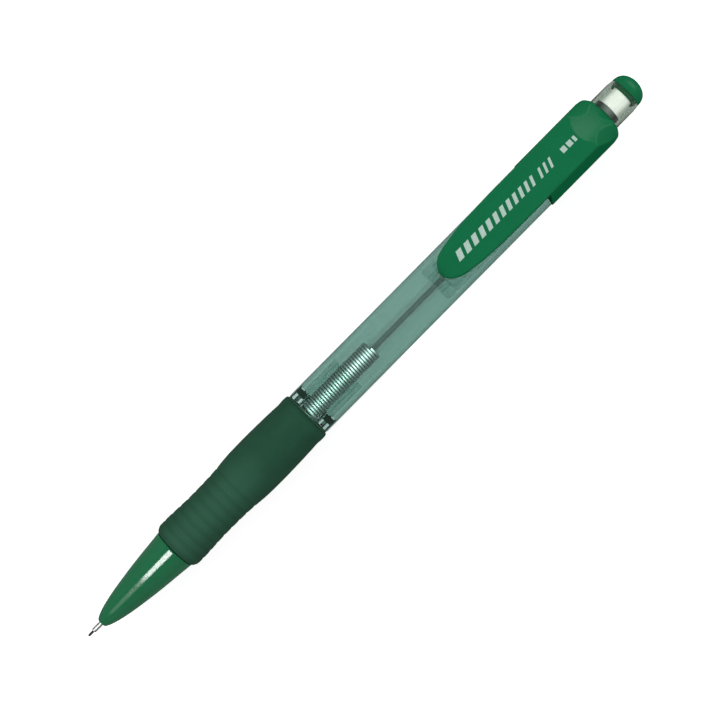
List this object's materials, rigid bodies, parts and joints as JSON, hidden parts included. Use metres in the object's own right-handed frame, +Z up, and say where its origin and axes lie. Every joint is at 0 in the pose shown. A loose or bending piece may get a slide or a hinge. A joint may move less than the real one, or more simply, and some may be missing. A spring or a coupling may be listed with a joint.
{
  "type": "mechanical lead holder",
  "caption": "Green clear-barrel mechanical lead holder with rubber grip, sliding tip, sliding coil weight, pocket clip and push button over an eraser.",
  "frame": {"origin": "under the middle of the length, on the plane the grip rests on, with the holder lying on its back and the clip on top", "axes": "+X from the writing point to the push button, +Y across the holder, +Z up through the flat face of the pocket clip"},
  "size_m": [0.1446, 0.0106, 0.0127],
  "materials": {
    "green_plastic": "moulded opaque green plastic, polished",
    "dark_green_plastic": "moulded dark green plastic",
    "grip_rubber": "matte moulded rubber",
    "clear_green": "transparent grey-green plastic, polished",
    "clear_cap": "transparent smoke-grey plastic, polished",
    "steel": "bright drawn steel",
    "spring_steel": "drawn spring wire",
    "brass": "turned brass",
    "graphite": "polymer-bound graphite lead",
    "white_plastic": "natural acetal",
    "black_plastic": "moulded near-black green plastic",
    "black_rubber": "soft rubber",
    "eraser_white": "white vinyl eraser"
  },
  "bodies": {
    "body": {"barrel": "clear_green", "grip_core": "dark_green_plastic", "grip": "grip_rubber", "front_guide": "clear_green", "rear_guide": "clear_green", "spring_housing": "white_plastic", "head": "green_plastic", "nose_cone": "green_plastic", "return_spring": "spring_steel"},
    "clip": {"clip": "green_plastic"},
    "tip": {"lead_sleeve": "steel", "sleeve_carrier": "white_plastic", "lead_retainer": "black_rubber"},
    "weight": {"coil_weight": "spring_steel"},
    "plunger": {"chuck": "brass", "chuck_connector": "black_plastic", "lead_tube": "clear_green", "eraser_socket": "black_plastic", "eraser": "eraser_white", "spare_lead_left": "graphite", "spare_lead_right": "graphite"},
    "ring": {"clutch_ring": "brass"},
    "lead": {"lead": "graphite"},
    "cap": {"cap_sleeve": "clear_cap", "cap_dome": "green_plastic"}
  },
  "joints": [
    {"name": "knock", "type": "slide", "parent": "body", "child": "plunger", "axis": [-1, 0, 0], "range_m": [0, 0.0035], "stiffness_N_per_m": 250, "springref_m": -0.004, "deforming": ["return_spring"]},
    {"name": "ring_slide", "type": "slide", "parent": "body", "child": "ring", "axis": [-1, 0, 0], "range_m": [0, 0.00105]},
    {"name": "lead_feed", "type": "slide", "parent": "body", "child": "lead", "axis": [-1, 0, 0], "range_m": [0, 0.00063]},
    {"name": "weight_slide", "type": "slide", "parent": "body", "child": "weight", "axis": [1, 0, 0], "range_m": [0, 0.016]},
    {"name": "sleeve_slide", "type": "slide", "parent": "body", "child": "tip", "axis": [1, 0, 0], "range_m": [0, 0.002]},
    {"name": "cap_pull", "type": "slide", "parent": "plunger", "child": "cap", "axis": [1, 0, 0], "range_m": [0, 0.016]},
    {"name": "clip_flex", "type": "hinge", "parent": "body", "child": "clip", "pos_m": [0.045, 0, 0.01189], "axis": [0, 1, 0], "range_deg": [0, 4]}
  ],
  "couplings": [
    {"joint": "ring_slide", "follows": "knock", "ratio": 0.3},
    {"joint": "lead_feed", "follows": "knock", "ratio": 0.18}
  ]
}
